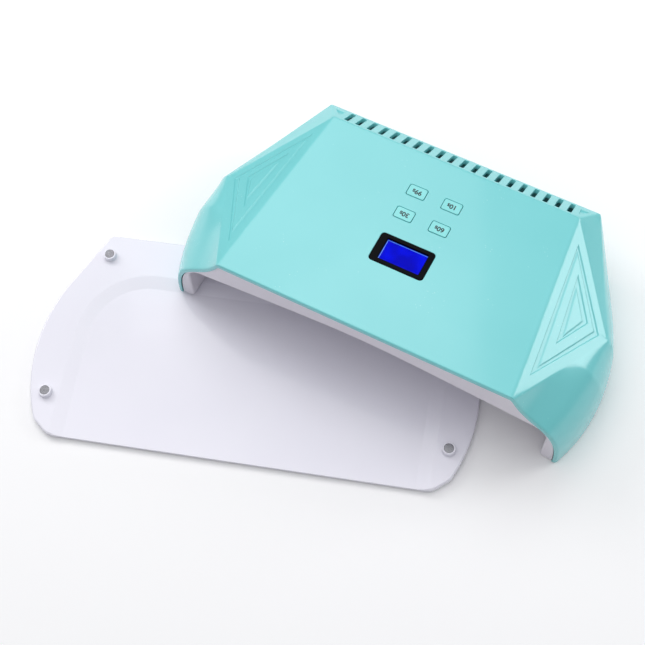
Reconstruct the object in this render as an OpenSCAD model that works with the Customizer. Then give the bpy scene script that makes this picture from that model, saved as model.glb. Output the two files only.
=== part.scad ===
// Two-hand UV LED nail lamp: a hood with its lamps, keys and display, standing turned and half off
// its separate magnetic base plate. +Y is the hood's back, its hand opening faces -Y, Z is up.

/* [Hood shell] */
// Height of the top panel at its front edge
top_front_z = 67.5; // [64:0.5:70]
// Height of the top panel at its back edge
top_back_z = 56.5; // [55:0.5:60]
// Depth of the top panel
top_depth = 134; // [130:1:138]
// Half width of the top panel at its front corner
top_half_front = 97; // [94:0.5:100]
// Half width of the top panel at its back corner
top_half_back = 86; // [83:0.5:89]
// Depth of the whole hood at its back ridge
ridge_depth = 150.5; // [148:0.5:153]
// Height of the back ridge
ridge_z = 43.5; // [42:0.5:45]
// Half width of the hood at its back ridge
ridge_half = 96; // [94:0.5:98]
// Wall thickness of the outer shell
shell_t = 2.4; // [2:0.1:2.8]
// Height of the shell's edge at the hand opening
rim_t = 3.9; // [3:0.1:4.2]

/* [Foot outline] */
// Widest half width of the hood's foot
foot_half = 144.3; // [142:0.1:146]
// Radius of the foot's side arcs
foot_arc_r = 113; // [108:1:118]
// Distance of the widest point behind the front edge
foot_wide_y = 46; // [42:1:50]
// How fast the sides close in behind the arcs
foot_taper = 0.5; // [0.46:0.01:0.54]
// Depth of the foot, less than the ridge because the back wall leans outward
foot_depth = 133; // [131:1:136]

/* [Hand opening] */
// Height of the opening in the middle
opening_z = 50; // [48:0.5:51]
// How fast the arch falls towards the sides
arch_fall = 0.125; // [0.11:0.005:0.14]
// How much lower the roof is at the back
roof_drop = 9; // [7:0.5:11]
// Radius of the corner between roof and leg
leg_corner_r = 12; // [10:0.5:13]
// Depth of the hand space
cavity_depth = 119; // [115:1:120]
// Wall thickness of the inner liner
liner_t = 2.0; // [1.8:0.1:2.4]

/* [Vents] */
// Number of vent slots
vent_count = 20; // [12:1:22]
// Distance between vent slots
vent_pitch = 8.23; // [7.5:0.01:8.5]
// Width of a vent slot
vent_w = 3.2; // [2.6:0.1:3.6]
// Length of a vent slot
vent_l = 15.5; // [12:0.5:16]

/* [Keys and display] */
// Width of a key cap
key_w = 12; // [10:0.1:13]
// Depth of a key cap
key_d = 8.2; // [7:0.1:9]
// Gap round a key cap
key_gap = 0.35; // [0.3:0.05:0.5]
// Sideways distance of a key from the middle
key_x = 12; // [9:0.5:14]
// Distance of the front row of keys from the front edge
key_row_1 = 86; // [84:0.5:88]
// Distance of the back row of keys from the front edge
key_row_2 = 104.8; // [102:0.5:107]
// Width of the display's frame
bezel_w = 36.4; // [34:0.2:38]
// Depth of the display's frame
bezel_d = 21.6; // [20:0.2:23]
// Distance of the display's middle from the front edge
bezel_y = 57.6; // [56:0.2:59]

/* [Base plate] */
// Thickness of the plate itself
plate_t = 4.4; // [4:0.1:4.6]
// Height of its rubber feet
pad_h = 1; // [0.8:0.1:1.2]
// Width of the plate beyond the hood's foot
plate_margin = 1.2; // [0.8:0.1:1.6]
// How far the plate's front reaches out past the hood when they are joined
porch = 13; // [11:0.5:14]
// Sideways distance of the front magnets
magnet_front_x = 130; // [128:0.5:131]
// Sideways distance of the back magnets
magnet_back_x = 112.5; // [111:0.1:114]
// Distance between the front and back magnets
magnet_depth = 102.7; // [100:0.1:104]
// Height of a magnet boss above the plate
boss_h = 4; // [3:0.1:4.2]
// Diameter of a magnet boss
boss_d = 8.4; // [8:0.1:9]
// Depth of the shallow hand tray
tray_depth = 1.8; // [1.4:0.1:2]

/* [Stance] */
// Where the hood's front middle stands
hood_at = [30.34, -12.86, 3.0];
// Lean of the hood, whose left foot stands on the plate and right foot on the table
hood_lean = 1.15; // [1:0.05:1.3]
// Where the middle of the plate's front magnets lies
plate_at = [-21.06, -75.06, 0];
// Turn of the plate under the hood
plate_turn = 17.55; // [15:0.05:20]

/* [Hidden] */
$fn = 48;
join_y = 14.3;                 // the hood's y that meets the plate's front magnets when joined
mint = [0.45, 0.86, 0.83];
white = [0.93, 0.93, 0.95];
metal = [0.74, 0.74, 0.76];
board_green = [0.10, 0.38, 0.20];
black = [0.03, 0.03, 0.035];
top_tilt = atan((top_front_z - top_back_z) / top_depth);
band_tilt = atan((top_back_z - ridge_z) / (ridge_depth - top_depth));
back_lean = atan((ridge_depth - foot_depth) / ridge_z);
corner_D = [top_half_front, 0, top_front_z];
corner_A = [top_half_back, top_depth, top_back_z];
corner_B = [ridge_half, ridge_depth, ridge_z];
corner_C = [132, 71, 41.5];    // where the side panel, the rear facet and the side wall meet
wall_steps = 7;
// positions of the cross-sections along the ridge: 0 the front edge, 1 at corner C, 2 the back ridge
stations = [0, 0.035, 0.07, 0.14, 0.25, 0.38, 0.51, 0.64, 0.76, 0.88, 1, 1.14, 1.3, 1.5, 1.79, 1.9, 2];
led_rows = [25, 55, 85];
led_cols = [24, 62, 98];
roof_tilt = atan(arch_fall * 0.87);
roof_pitch = atan(roof_drop / 124);
led_d = 5.2;
board_w = 66;
board_l = 80;
board_y = 38;
board_top = -9.6;              // the control board's upper face, below the top panel
board_t = 1.4;
key_spots = [[key_x, key_row_2], [key_x, key_row_1], [-key_x, key_row_1], [-key_x, key_row_2]];
screw_spots = [[134, 45], [127, 84], [62, 126.6]];
jack_x = 80;
jack_up = 20;                  // height of the inlet, measured up the leaning back wall

// ---------------------------------------------------------------- helpers
function mix3(a, b, t) = a + (b - a) * t;
function bezier(p, t) = p[0] * pow(1 - t, 3) + 3 * p[1] * t * pow(1 - t, 2)
    + 3 * p[2] * t * t * (1 - t) + p[3] * pow(t, 3);
function flip(p) = [-p[0], p[1], p[2]];
function both_sides(half) = let (n = len(half))
    concat(half, [for (i = [n - 2 : -1 : 0]) flip(half[i])]);

// half width of the hood's foot at y
foot_turn_y = foot_wide_y + foot_arc_r * sin(atan(foot_taper));
function foot_arc(y) = foot_half - foot_arc_r + sqrt(foot_arc_r * foot_arc_r - pow(y - foot_wide_y, 2));
function foot_w(y) = y < foot_turn_y ? foot_arc(y) : foot_arc(foot_turn_y) - foot_taper * (y - foot_turn_y);

// height of the hand space's roof, raised by grow
function roof_z(x, y, grow) = opening_z + grow - arch_fall * (sqrt(x * x + 900) - 30) - roof_drop * y / 124;
// thickness of a leg, widest where it holds the magnets
function leg(y) = lookup(y, [[0, 10.7], [6, 14], [14, 17.2], [30, 19], [55, 19], [80, 20], [100, 22], [124, 25]]);
function cavity_w(y) = foot_w(y) - leg(y);

// middle of a ring of points
function middle(ring, i = 0) = i == len(ring) ? [0, 0, 0] : ring[i] / len(ring) + middle(ring, i + 1);
// skin of a lofted solid: rings of equal length, each end closed by a fan from its middle
module loft(rings) {
    n = len(rings[0]);
    m = len(rings);
    polyhedron(
        points = concat([for (r = rings) each r], [middle(rings[0]), middle(rings[m - 1])]),
        faces = concat(
            [for (i = [0 : n - 1]) [m * n, (i + 1) % n, i]],
            [for (k = [0 : m - 2], i = [0 : n - 1]) let (j = (i + 1) % n)
                [k * n + i, k * n + j, (k + 1) * n + i]],
            [for (k = [0 : m - 2], i = [0 : n - 1]) let (j = (i + 1) % n)
                [k * n + j, (k + 1) * n + j, (k + 1) * n + i]],
            [for (i = [0 : n - 1]) [m * n + 1, (m - 1) * n + i, (m - 1) * n + (i + 1) % n]]));
}

// ---------------------------------------------------------------- shape of the hood
// key points of the shell, pulled inward by t at the sides and td at the top
function in_D(t, td) = corner_D + [-0.24 * t, 0, -td];
function in_A(t, td) = corner_A + [-0.3 * t, -0.25 * td, -td];
function in_B(t, td) = corner_B + [-0.6 * t, -t, -0.85 * td];
function in_C(t) = corner_C + [-0.85 * t, -0.1 * t, -0.8 * t];
function ridge(u, t, td) = u <= 1
    ? mix3(in_D(t, td) + [1.2, 0, -1], in_C(t), u)
    : mix3(in_C(t), in_B(t, td), u - 1);
// the panel's edge: along its side, then along the end of the vent band
function panel_edge(y, t, td) = let (a = in_A(t, td), b = in_B(t, td), d = in_D(t, td))
    y <= a[1] ? mix3(d, a, y / a[1]) : mix3(a, b - [0.8, 0, 0], (y - a[1]) / (b[1] - a[1]));
function foot_y(u, t) = u <= 1 ? corner_C[1] * u : mix3(corner_C[1], foot_depth - t, u - 1);

// one cross-section, from the right foot over the top to the left foot
function section(u, t = 0, td = 0, low = 0) = let (
        r = ridge(u, t, td),
        e = panel_edge(min(r[1], in_B(t, td)[1]), t, td),
        fold = u > 1 && r[1] < in_A(t, td)[1]
            ? mix3(in_C(t), in_A(t, td), (r[1] - in_C(t)[1]) / (in_A(t, td)[1] - in_C(t)[1]))
            : mix3(e, r, 0.5),
        f_y = foot_y(u, t),
        f_x = foot_w(f_y) - t,
        out = [lookup(u, [[0, 14.8], [0.63, 13.8], [1, 6], [2, 6]]),
               lookup(u, [[0, -28.6], [0.63, -5], [1, -2.5], [2, -11.5]])],
        knee = [lookup(u, [[0, -0.5], [0.63, 0.7], [1, 0], [2, -4]]),
                lookup(u, [[0, 49], [0.63, 36], [1, 22], [2, 14]])],
        curve = [[r[0], r[2]], [r[0], r[2]] + out, [f_x + knee[0], knee[1] - 0.6 * t], [f_x, low]],
        wall = [for (i = [wall_steps : -1 : 1]) let (p = bezier(curve, i / wall_steps))
            [p[0], f_y + (r[1] - f_y) * max(p[1], 0) / r[2], p[1]]])
    both_sides(concat(wall, [r, fold, e, [0, e[1], e[2]]]));

function at_y(ring, y) = [for (p = ring) [p[0], y, p[2]]];
module hood_solid() loft([for (u = stations) section(u)]);
module hood_void() loft(concat(
    [at_y(section(0, rim_t * 0.7, rim_t, -1), -1)],
    [for (u = stations) if (u < 2) section(u, u < 0.06 ? rim_t * 0.7 : shell_t,
        u < 0.06 ? rim_t : shell_t, -1)],
    [section(2, shell_t, shell_t, -1)]));

// the hand space, grown by g
function cavity_ring(y, g = 0, low = 0) = let (
        w = cavity_w(y) + g,
        r = leg_corner_r + g,
        x0 = w - r,
        z0 = roof_z(x0, y, g) - r,
        leg_points = [[w, y, low], [w, y, (z0 + low) / 2]],
        corner = [for (a = [0, 21, 42, 63, 83]) [x0 + r * cos(a), y, z0 + r * sin(a)]],
        roof = [for (k = [0.8, 0.6, 0.4, 0.2, 0]) [x0 * k, y, roof_z(x0 * k, y, g)]])
    both_sides(concat(leg_points, corner, roof));
cavity_stations = [0, 6, 14, 30, 48, 66, 84, 102];
module cavity(g, front, back, low) loft(concat(
    [at_y(cavity_ring(0, g, low), front)],
    [for (y = cavity_stations) if (y > front) cavity_ring(y, g, low)],
    [at_y(cavity_ring(cavity_depth, g, low), back)]));

// frames on the hood's faces
module in_hood() translate(hood_at) rotate([0, hood_lean, 0]) children();
module on_top(x = 0, y = 0) translate([0, 0, top_front_z]) rotate([-top_tilt, 0, 0])
    translate([x, y / cos(top_tilt), 0]) children();
module on_band() translate([0, top_depth, top_back_z]) rotate([-band_tilt, 0, 0]) children();
// x along the wall, y up the wall, z into the hood
module on_back() translate([0, foot_depth, 0]) rotate([90 - back_lean, 0, 0]) children();
// right half of the roof: x and y along the lamp board, z out of the hand space
module on_roof(side) mirror([side < 0 ? 1 : 0, 0, 0])
    translate([led_cols[1], led_rows[1], roof_z(led_cols[1], led_rows[1], 0)])
    rotate([-roof_pitch, roof_tilt, 0]) children();
module slab(w, d, t, r) linear_extrude(t) rounded(w, d, r);
module rounded(w, d, r) union() {
    square([w - 2 * r, d], center = true);
    square([w, d - 2 * r], center = true);
    for (x = [-1, 1], y = [-1, 1]) translate([x * (w / 2 - r), y * (d / 2 - r)]) circle(r);
}

// ---------------------------------------------------------------- outer shell
// a triangle on the right side panel, by its shares of corners A, C and D
function on_panel(s) = corner_A * s[0] + corner_C * s[1] + corner_D * s[2];
panel_n = let (c = cross(corner_C - corner_D, corner_A - corner_D)) c / norm(c);
// four nested triangles, outermost first
relief = [
    [[0.80, 0.13, 0.07], [0.07, 0.86, 0.07], [0.08, 0.13, 0.79]],
    [[0.73, 0.17, 0.10], [0.12, 0.77, 0.11], [0.11, 0.21, 0.68]],
    [[0.58, 0.28, 0.14], [0.20, 0.65, 0.15], [0.19, 0.32, 0.49]],
    [[0.47, 0.34, 0.19], [0.24, 0.56, 0.20], [0.22, 0.39, 0.39]]];
groove_depth = 0.5;
module panel_prism(tri, low, high) polyhedron(
    points = [for (h = [low, high], s = tri) on_panel(s) + panel_n * h],
    faces = [[0, 2, 1], [3, 4, 5], [0, 1, 4, 3], [1, 2, 5, 4], [2, 0, 3, 5]]);
module relief_groove(outer, inner) difference() {
    panel_prism(relief[outer], -groove_depth, 2);
    panel_prism(relief[inner], -2 * groove_depth, 3);
}
module vent_slots() on_band() for (i = [0 : vent_count - 1]) {
    x = (i - (vent_count - 1) / 2) * vent_pitch;
    translate([x, 10.5, -5]) slab(vent_w, vent_l, 8, 0.8);
}
// a shallow three-cornered recess past each end of the slots
module end_recess() on_band() translate([vent_count * vent_pitch / 2 + 1.1, 5.5, -1]) linear_extrude(3)
    polygon([[0.8, 0], [6.6, 9.3], [0, 9.3]]);
module screw_post(x, y) {
    difference() {
        union() {
            translate([x, y, 3.7]) cylinder(d = 6.4, h = 12);
            if (abs(x) > 100) translate([x > 0 ? x : -foot_w(y) + 1.2, y - 1, 3.9])
                cube([foot_w(y) - 1.2 - abs(x), 2, 11]);
            else translate([x - 1, y, 3.9]) cube([2, 8.4, 8]);
        }
        translate([x, y, 3]) cylinder(d = 2.8, h = 11);
    }
}

module top_cover() color(mint) in_hood() difference() {
    union() {
        difference() {
            hood_solid();
            hood_void();
        }
        for (s = [-1, 1], p = screw_spots) screw_post(s * p[0], p[1]);
        // posts that the control board is screwed to
        for (x = [-1, 1], y = [board_y + 5, board_y + board_l - 5])
            on_top(x * 28, y) translate([0, 0, board_top]) cylinder(d = 6, h = -board_top - 1.2);
    }
    for (s = [0, 1]) mirror([s, 0, 0]) {
        relief_groove(0, 1);
        relief_groove(2, 3);
        end_recess();
    }
    vent_slots();
    for (p = key_spots) on_top(p[0], p[1]) translate([0, 0, -4])
        slab(key_w + 2 * key_gap, key_d + 2 * key_gap, 6, 1.4);
    on_top(0, bezel_y) translate([0, 0, -4]) slab(bezel_w + 0.3, bezel_d + 0.3, 6, 2.4);
    on_back() translate([jack_x, jack_up, -3]) cylinder(d = 8.4, h = 8);
    for (x = [-1, 1], y = [board_y + 5, board_y + board_l - 5])
        on_top(x * 28, y) translate([0, 0, board_top - 1]) cylinder(d = 2.2, h = 6.5);
}

// ---------------------------------------------------------------- inner liner
module foot_plan(inset, front, back) polygon(concat(
    [for (y = [front : 8 : back - 4]) [foot_w(y) - inset, y]], [[foot_w(back) - inset, back]],
    [[-foot_w(back) + inset, back]], [for (y = [back - 4 - (back - 4 - front) % 8 : -8 : front])
        [-foot_w(y) + inset, y]]));
module cavity_plan(grow, back) polygon(concat(
    [[cavity_w(0) + grow, -5]],
    [for (y = concat(cavity_stations, [cavity_depth])) [cavity_w(y) + grow, y]],
    [[cavity_w(cavity_depth) + grow, back], [-cavity_w(cavity_depth) - grow, back]],
    [for (i = [len(cavity_stations) : -1 : 0]) let (y = concat(cavity_stations, [cavity_depth])[i])
        [-cavity_w(y) - grow, y]],
    [[-cavity_w(0) - grow, -5]]));
module front_band() difference() {
    translate([0, 3.2, 0]) rotate([90, 0, 0]) linear_extrude(2.4)
        polygon([for (p = section(0, rim_t * 0.7 + 0.35, rim_t + 0.45, 0.4)) [p[0], p[2]]]);
    translate([0, 6, 0]) rotate([90, 0, 0]) linear_extrude(9)
        polygon([for (p = cavity_ring(0, 0, -1)) [p[0], p[2]]]);
}
module magnet_cups(d, z, h) for (s = [-1, 1]) {
    translate([s * magnet_front_x, join_y, z]) cylinder(d = d, h = h);
    translate([s * magnet_back_x, join_y + magnet_depth, z]) cylinder(d = d, h = h);
}
side_led_rows = [36, 49, 62];
back_led_cols = [-33, -11, 11, 33];
module led_spots(side) on_roof(side) for (x = led_cols, y = led_rows)
    translate([x - led_cols[1], y - led_rows[1], 0]) children();
module side_led_spots(side) mirror([side < 0 ? 1 : 0, 0, 0]) for (y = side_led_rows)
    translate([125.2, y, 20]) rotate([0, 90, 0]) children();
module back_led_spots() for (x = back_led_cols)
    translate([x, cavity_depth, 21]) rotate([-90, 0, 0]) children();
module inner_liner() color(white) in_hood() difference() {
    union() {
        difference() {
            cavity(liner_t, 2.9, cavity_depth + liner_t, 0.4);
            cavity(0, -2, cavity_depth, -2);
        }
        front_band();
        translate([0, 0, 0.4]) linear_extrude(2.2) difference() {
            foot_plan(shell_t + 0.9, 3.4, foot_depth - shell_t - 0.6);
            cavity_plan(0.6, cavity_depth + 0.6);
        }
        magnet_cups(10.6, 0.4, 6.8);
        for (s = [-1, 1], p = screw_spots) translate([s * p[0], p[1], 0.4]) cylinder(d = 8.4, h = 3.2);
    }
    magnet_cups(9.4, -1, 5.6);
    magnet_cups(8.2, 4, 3);
    for (s = [-1, 1], p = screw_spots) translate([s * p[0], p[1], -1]) {
        cylinder(d = 6, h = 3.1);
        cylinder(d = 3, h = 8);
    }
    for (s = [-1, 1]) {
        led_spots(s) translate([0, 0, -3]) cylinder(d = led_d + 0.5, h = 8);
        side_led_spots(s) translate([0, 0, -4]) cylinder(d = led_d + 0.5, h = 9);
        on_roof(s) translate([44, -41, -3]) cylinder(d = 4.4, h = 8);
    }
    back_led_spots() translate([0, 0, -3]) cylinder(d = led_d + 0.5, h = 8);
}

// ---------------------------------------------------------------- keys and display
module key(i) color(mint) in_hood() on_top(key_spots[i][0], key_spots[i][1]) {
    translate([0, 0, -2.5]) slab(key_w, key_d, 2.7, 1.2);
    translate([0, 0, -3.5]) slab(key_w + 2, key_d + 2, 0.8, 1.6);
    translate([0, 0, -3]) cube([key_w - 2, key_d - 2, 2], center = true);
    translate([0, 0, -5]) cylinder(d = 3, h = 2);
}
module button_10s() key(0);
module button_60s() key(1);
module button_30s() key(2);
module button_99s() key(3);
module display_bezel() color(black) in_hood() on_top(0, bezel_y) difference() {
    translate([0, 0, -1.5]) slab(bezel_w, bezel_d, 1.8, 2.3);
    translate([0.6, 0.2, -2]) slab(27.4, 15.4, 4, 0.4);
}
module lcd_glass() color([0.02, 0.10, 0.75]) in_hood() on_top(0, bezel_y)
    translate([0, 0, -3.1]) slab(31, 18, 1.5, 0.4);
module lcd_module() color([0.85, 0.88, 0.9]) in_hood() on_top(0, bezel_y) {
    translate([0, 0, -7.4]) slab(32.5, 19.4, 4.2, 0.8);
    for (x = [-12 : 4 : 12]) translate([x, 9, board_top + 0.1]) cylinder(d = 0.8, h = 3);
}

// ---------------------------------------------------------------- electronics
module control_board() color(board_green) in_hood() difference() {
    on_top(0, board_y + board_l / 2) translate([0, 0, board_top - board_t]) slab(board_w, board_l, board_t, 2);
    for (x = [-1, 1], y = [board_y + 5, board_y + board_l - 5])
        on_top(x * 28, y) translate([0, 0, board_top - 3]) cylinder(d = 2.6, h = 5);
}
module board_screws() color(metal) in_hood() for (x = [-1, 1], y = [board_y + 5, board_y + board_l - 5])
    on_top(x * 28, y) {
        translate([0, 0, board_top - board_t - 1.2]) cylinder(d = 4.4, h = 1.2);
        translate([0, 0, board_top - board_t - 0.4]) cylinder(d = 2, h = 6);
    }
module key_switches() color([0.15, 0.15, 0.16]) in_hood() for (p = key_spots) on_top(p[0], p[1]) {
    translate([-3, -3, board_top]) cube([6, 6, 3.3]);
    translate([0, 0, board_top + 3]) cylinder(d = 3.4, h = 1);
}
module controller_chips() color(black) in_hood() {
    on_top(-4, 76) translate([0, 0, board_top]) translate([-5, -3.2, 0]) cube([10, 6.4, 1.8]);
    on_top(17, 95.5) translate([0, 0, board_top]) translate([-2.5, -2, 0]) cube([5, 4, 1.6]);
    on_top(-25, 76) translate([0, 0, board_top]) translate([-4, -4, 0]) cube([8, 8, 3.4]);
}
module supply_capacitors() color([0.12, 0.13, 0.2]) in_hood() for (y = [52, 61])
    on_top(24, y) translate([-6, 0, board_top + 3.3]) rotate([0, 90, 0]) cylinder(d = 6.3, h = 12);
module buzzer() color(black) in_hood() on_top(-25, 60) translate([0, 0, board_top]) difference() {
    cylinder(d = 9, h = 5);
    translate([0, 0, 3]) cylinder(d = 1.6, h = 4);
}
header_spots = [[-27, 92], [27, 84], [27, 99]];
module wire_headers() color(white) in_hood() for (p = header_spots)
    on_top(p[0], p[1]) translate([-3.5, -2.5, board_top]) cube([7, 5, 4.6]);
module led_board(side) color([0.86, 0.87, 0.88]) {
    on_roof(side) translate([-45, -46, liner_t + 0.7]) cube([88, 84, 1.2]);
    mirror([side < 0 ? 1 : 0, 0, 0]) translate([129.2, 29, 12]) cube([1.2, 40, 15]);
}
module led_board_left() in_hood() led_board(-1);
module led_board_right() in_hood() led_board(1);
module led_board_back() color([0.86, 0.87, 0.88]) in_hood()
    translate([-42, cavity_depth + liner_t + 0.6, 13]) cube([84, 1.2, 16]);
module led_bead(from) {
    translate([0, 0, -0.6]) cylinder(d = led_d, h = from + 0.6);
}
module uv_leds() color([0.85, 0.82, 0.95]) in_hood() {
    for (s = [-1, 1]) {
        led_spots(s) led_bead(liner_t + 0.7);
        side_led_spots(s) led_bead(4);
    }
    back_led_spots() led_bead(liner_t + 0.6);
}
module sensor_windows() color([0.15, 0.02, 0.05]) in_hood() for (s = [-1, 1])
    on_roof(s) translate([44, -41, -0.3]) cylinder(d = 4, h = liner_t + 0.6);
module dc_socket() color(black) in_hood() on_back() translate([jack_x, jack_up, 0]) difference() {
    union() {
        translate([0, 0, -0.6]) cylinder(d = 8, h = 6);
        translate([0, 0, shell_t + 0.2]) cylinder(d = 12, h = 1.6);
        translate([-4.5, -5, shell_t + 1.8]) cube([9, 10, 9]);
    }
    translate([0, 0, -1]) cylinder(d = 5.6, h = 10);
}
module dc_contact_pin() color(metal) in_hood() on_back() translate([jack_x, jack_up, 0.6])
    cylinder(d = 2, h = 8.4);
module hood_magnets() color(metal) in_hood() magnet_cups(8, 4.7, 2.2);
module case_screws() color(metal) in_hood() for (s = [-1, 1], p = screw_spots)
    translate([s * p[0], p[1], 0.6]) {
        cylinder(d = 5.4, h = 1.4);
        cylinder(d = 2.6, h = 12);
    }

// ---------------------------------------------------------------- wires
function catmull(p, i, t) = let (a = p[max(i - 1, 0)], b = p[i], c = p[i + 1], d = p[min(i + 2, len(p) - 1)])
    0.5 * ((2 * b) + (c - a) * t + (2 * a - 5 * b + 4 * c - d) * t * t + (3 * b - a - 3 * c + d) * t * t * t);
function along(p, per) = concat([for (i = [0 : len(p) - 2], k = [0 : per - 1]) catmull(p, i, k / per)],
    [p[len(p) - 1]]);
module wire(route, r) {
    c = along(route, 4);
    n = len(c);
    loft([for (i = [0 : n - 1]) let (
            d = c[min(i + 1, n - 1)] - c[max(i - 1, 0)],
            t = d / norm(d),
            side = cross(t, [0, 0, 1]) / norm(cross(t, [0, 0, 1])),
            up = cross(side, t))
        [for (a = [0 : 45 : 315]) c[i] + r * (side * cos(a) + up * sin(a))]]);
}
function top_point(x, y, w) = [x, y + w * sin(top_tilt), top_front_z - y * tan(top_tilt) + w * cos(top_tilt)];
function back_point(x, up, deep) = [x, foot_depth + up * sin(back_lean) - deep * cos(back_lean),
    up * cos(back_lean) + deep * sin(back_lean)];
dc_route = [back_point(80, 20, 13.35), back_point(80, 20, 15), back_point(80, 20, 16.6), [74, 124.6, 31], [62, 121, 41], [47, 110, 49],
    top_point(37, 100, board_top + 2.4), top_point(30.8, 99, board_top + 2.4)];
left_route = [top_point(-30.8, 92, board_top + 2.4), top_point(-35, 92, board_top + 2), [-44, 90, 49.5],
    [-50, 88, 47.5], [-50.6, 87.6, 45]];
module dc_lead() color(black) in_hood() wire(dc_route, 1.2);
module led_lead_left() color([0.8, 0.1, 0.1]) in_hood() wire(left_route, 0.9);
module led_lead_right() color([0.8, 0.1, 0.1]) in_hood()
    wire([for (p = left_route) [-p[0], p[1] - 8, p[2] + 8 * tan(top_tilt)]], 0.9);

// ---------------------------------------------------------------- base plate
module in_plate() translate(plate_at) rotate([0, 0, plate_turn]) children();
plate_front = -join_y - porch;
plate_back = foot_depth - join_y;
plate_z = pad_h + plate_t;
function plate_w(y) = foot_w(y + join_y) + plate_margin;
module plate_outline() {
    corner_r = 9;
    back_r = 4;
    ys = [for (y = [plate_front + corner_r : 6 : plate_back - back_r]) y];
    hull() {
        polygon(concat([for (y = ys) [plate_w(y), y]], [for (i = [len(ys) - 1 : -1 : 0]) [-plate_w(ys[i]), ys[i]]]));
        for (s = [-1, 1]) {
            translate([s * (plate_w(plate_front) - corner_r), plate_front + corner_r]) circle(corner_r);
            translate([s * (plate_w(plate_back - back_r) - back_r), plate_back - back_r]) circle(back_r);
        }
    }
}
module tray_outline(inset) {
    w = 122.5 - inset;
    b = 92.5 - inset;
    r = 46 - inset;
    hull() {
        for (s = [-1, 1]) {
            translate([s * (w - r), b - r]) circle(r, $fn = 64);
            translate([s * (w - 5), 15]) circle(5);
            translate([s * (w - 5), plate_front - 8]) circle(3.6);
        }
    }
}
module base_plate() color(white) in_plate() difference() {
    union() {
        translate([0, 0, pad_h]) linear_extrude(plate_t) plate_outline();
        for (s = [-1, 1]) {
            translate([s * magnet_front_x, 0, pad_h + 1]) cylinder(d = boss_d, h = plate_t - 1 + boss_h);
            translate([s * magnet_back_x, magnet_depth, pad_h + 1]) cylinder(d = boss_d, h = plate_t - 1 + boss_h);
        }
    }
    hull() {
        translate([0, 0, plate_z]) linear_extrude(1) tray_outline(0);
        translate([0, 0, plate_z - tray_depth]) linear_extrude(0.1) tray_outline(9);
    }
    plate_magnet_places(6.2, plate_z + boss_h - 2.3, 4);
    plate_feet_places(10.4, pad_h - 1, 1.4);
}
module plate_magnet_places(d, z, h) for (s = [-1, 1]) {
    translate([s * magnet_front_x, 0, z]) cylinder(d = d, h = h);
    translate([s * magnet_back_x, magnet_depth, z]) cylinder(d = d, h = h);
}
module plate_feet_places(d, z, h) for (s = [-1, 1]) {
    translate([s * 118, -12, z]) cylinder(d = d, h = h);
    translate([s * 104, 106, z]) cylinder(d = d, h = h);
}
module plate_magnets() color(metal) in_plate() plate_magnet_places(6, plate_z + boss_h - 2.2, 2);
module plate_feet() color([0.2, 0.2, 0.2]) in_plate() plate_feet_places(10, 0, pad_h + 0.3);

// ---------------------------------------------------------------- the assembly
base_plate();
plate_magnets();
plate_feet();
top_cover();
inner_liner();
display_bezel();
lcd_glass();
lcd_module();
button_10s();
button_60s();
button_30s();
button_99s();
control_board();
key_switches();
controller_chips();
supply_capacitors();
buzzer();
wire_headers();
board_screws();
led_board_left();
led_board_right();
led_board_back();
uv_leds();
sensor_windows();
hood_magnets();
case_screws();
dc_socket();
dc_contact_pin();
dc_lead();
led_lead_left();
led_lead_right();
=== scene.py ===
# Looks of the two-hand UV LED nail lamp: a mint hood with its white liner, keys, display and lamps,
# and a white base plate with four magnets. Shapes are in millimetres on the hood or on the plate,
# and are settled into the frame in metres when a piece is finished.
import math
import bmesh
import bpy
from mathutils import Matrix, Vector


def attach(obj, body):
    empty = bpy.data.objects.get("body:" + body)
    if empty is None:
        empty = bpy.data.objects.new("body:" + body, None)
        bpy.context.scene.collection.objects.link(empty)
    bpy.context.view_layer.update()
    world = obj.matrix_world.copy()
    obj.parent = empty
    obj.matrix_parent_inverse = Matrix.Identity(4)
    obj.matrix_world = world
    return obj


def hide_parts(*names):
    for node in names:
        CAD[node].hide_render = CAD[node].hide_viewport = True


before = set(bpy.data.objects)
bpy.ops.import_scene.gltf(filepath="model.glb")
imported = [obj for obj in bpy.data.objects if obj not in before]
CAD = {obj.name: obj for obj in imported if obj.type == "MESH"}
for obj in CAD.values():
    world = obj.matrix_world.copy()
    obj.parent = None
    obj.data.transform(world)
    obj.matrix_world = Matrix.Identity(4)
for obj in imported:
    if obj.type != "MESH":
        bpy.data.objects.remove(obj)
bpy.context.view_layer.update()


# ------------------------------------------------------------------ node graphs


class Socket:
    """A node's output that takes part in sums like a number."""

    def __init__(self, graph, out):
        self.graph, self.out = graph, out

    def __add__(self, other):
        return self.graph.maths("ADD", self, other)

    def __radd__(self, other):
        return self.graph.maths("ADD", other, self)

    def __sub__(self, other):
        return self.graph.maths("SUBTRACT", self, other)

    def __rsub__(self, other):
        return self.graph.maths("SUBTRACT", other, self)

    def __mul__(self, other):
        return self.graph.maths("MULTIPLY", self, other)

    def __truediv__(self, other):
        return self.graph.maths("DIVIDE", self, other)

    def band(self, low, high):
        """0 below low, 1 above high, smooth in between."""
        return self.graph.node("ShaderNodeMapRange", {"interpolation_type": "SMOOTHSTEP"},
                               {"Value": self, "From Min": low, "From Max": high})


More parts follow.
